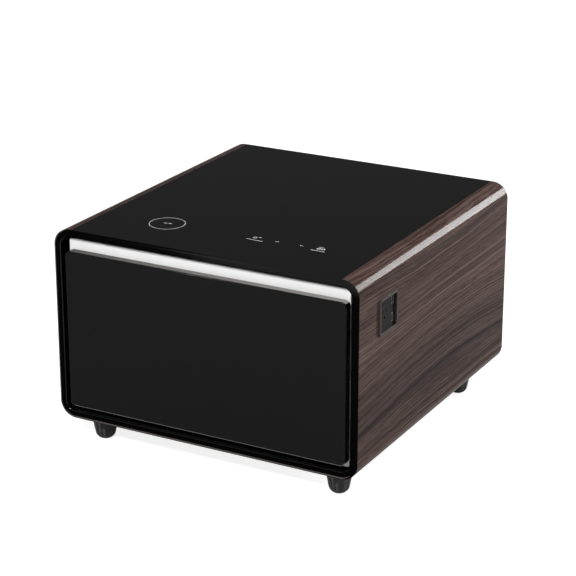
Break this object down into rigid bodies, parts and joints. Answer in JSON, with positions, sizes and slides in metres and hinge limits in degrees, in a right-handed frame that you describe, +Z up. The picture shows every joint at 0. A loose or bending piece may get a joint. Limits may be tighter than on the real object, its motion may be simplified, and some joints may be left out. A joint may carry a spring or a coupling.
{
  "type": "refrigerator nightstand",
  "caption": "Wood-laminate nightstand on tapered feet with a glass top and a cooled drawer behind a black glass front, with cooling machinery at the back.",
  "frame": {"origin": "on the floor, in the middle of the footprint", "axes": "+X to the right seen from the front, +Y from the front to the back, +Z up"},
  "size_m": [0.6035, 0.6272, 0.41],
  "materials": {
    "wood": "satin",
    "board_wood": "matte",
    "black_glass": "gloss",
    "black_steel": "satin",
    "black_gloss": "gloss",
    "black_plastic": "satin",
    "zinc_steel": "satin",
    "circuit_board": "satin",
    "copper": "satin",
    "grey_plastic": "satin",
    "white_plastic": "satin",
    "foam": "matte",
    "fin_aluminium": "satin",
    "grey_aluminium": "satin",
    "silver_aluminium": "satin",
    "grey_rubber": "matte"
  },
  "bodies": {
    "cabinet": {"side_panel_left": "wood", "side_panel_right": "wood", "top_board": "board_wood", "top_glass": "black_glass", "base_board": "board_wood", "back_panel": "black_steel", "front_bezel": "black_gloss", "foot_front_left": "black_gloss", "foot_front_right": "black_gloss", "foot_rear_left": "black_gloss", "foot_rear_right": "black_gloss", "foot_studs": "zinc_steel", "back_screws": "zinc_steel", "outlet_frame": "black_plastic", "mains_socket": "black_plastic", "usb_ports": "zinc_steel", "touch_board": "circuit_board", "charger_board": "circuit_board", "charging_coil": "copper", "control_box": "grey_plastic", "control_board": "circuit_board", "power_inlet": "black_plastic", "inner_liner": "white_plastic", "foam_top": "foam", "foam_bottom": "foam", "foam_left": "foam", "foam_right": "foam", "foam_rear": "foam", "partition": "zinc_steel", "evaporator": "fin_aluminium", "duct_cover": "white_plastic", "evaporator_fan_frame": "black_plastic", "light_lens": "white_plastic", "rail_outer_left": "zinc_steel", "rail_outer_right": "zinc_steel", "compressor": "black_steel", "compressor_mounts": "grey_rubber", "relay_cover": "black_plastic", "discharge_pipe": "copper", "suction_pipe": "copper", "condenser": "fin_aluminium", "condenser_fan_frame": "black_plastic", "filter_dryer": "copper", "capillary_tube": "copper", "drip_tray": "white_plastic"},
    "drawer": {"drawer_glass": "black_glass", "drawer_carrier": "black_gloss", "handle_channel": "grey_aluminium", "silver_plate": "silver_aluminium", "door_core": "foam", "door_panel": "white_plastic", "door_gasket": "grey_rubber", "drawer_bin": "white_plastic", "bin_divider": "grey_plastic", "rail_inner_left": "zinc_steel", "rail_inner_right": "zinc_steel"},
    "left_rail_slider": {"rail_middle_left": "zinc_steel"},
    "right_rail_slider": {"rail_middle_right": "zinc_steel"},
    "condenser_rotor": {"condenser_fan": "black_plastic"},
    "evaporator_rotor": {"evaporator_fan": "black_plastic"}
  },
  "joints": [
    {"name": "drawer_slide", "type": "slide", "parent": "cabinet", "child": "drawer", "axis": [0, -1, 0], "range_m": [0, 0.3]},
    {"name": "left_rail_slide", "type": "slide", "parent": "cabinet", "child": "left_rail_slider", "axis": [0, -1, 0], "range_m": [0, 0.15]},
    {"name": "right_rail_slide", "type": "slide", "parent": "cabinet", "child": "right_rail_slider", "axis": [0, -1, 0], "range_m": [0, 0.15]},
    {"name": "condenser_fan_spin", "type": "hinge", "parent": "cabinet", "child": "condenser_rotor", "pos_m": [0.045, 0.24005, 0.11], "axis": [1, 0, 0], "continuous": true},
    {"name": "evaporator_fan_spin", "type": "hinge", "parent": "cabinet", "child": "evaporator_rotor", "pos_m": [0, 0.0853, 0.304], "axis": [0, 1, 0], "continuous": true}
  ],
  "couplings": [
    {"joint": "left_rail_slide", "follows": "drawer_slide", "ratio": 0.5},
    {"joint": "right_rail_slide", "follows": "drawer_slide", "ratio": 0.5}
  ]
}
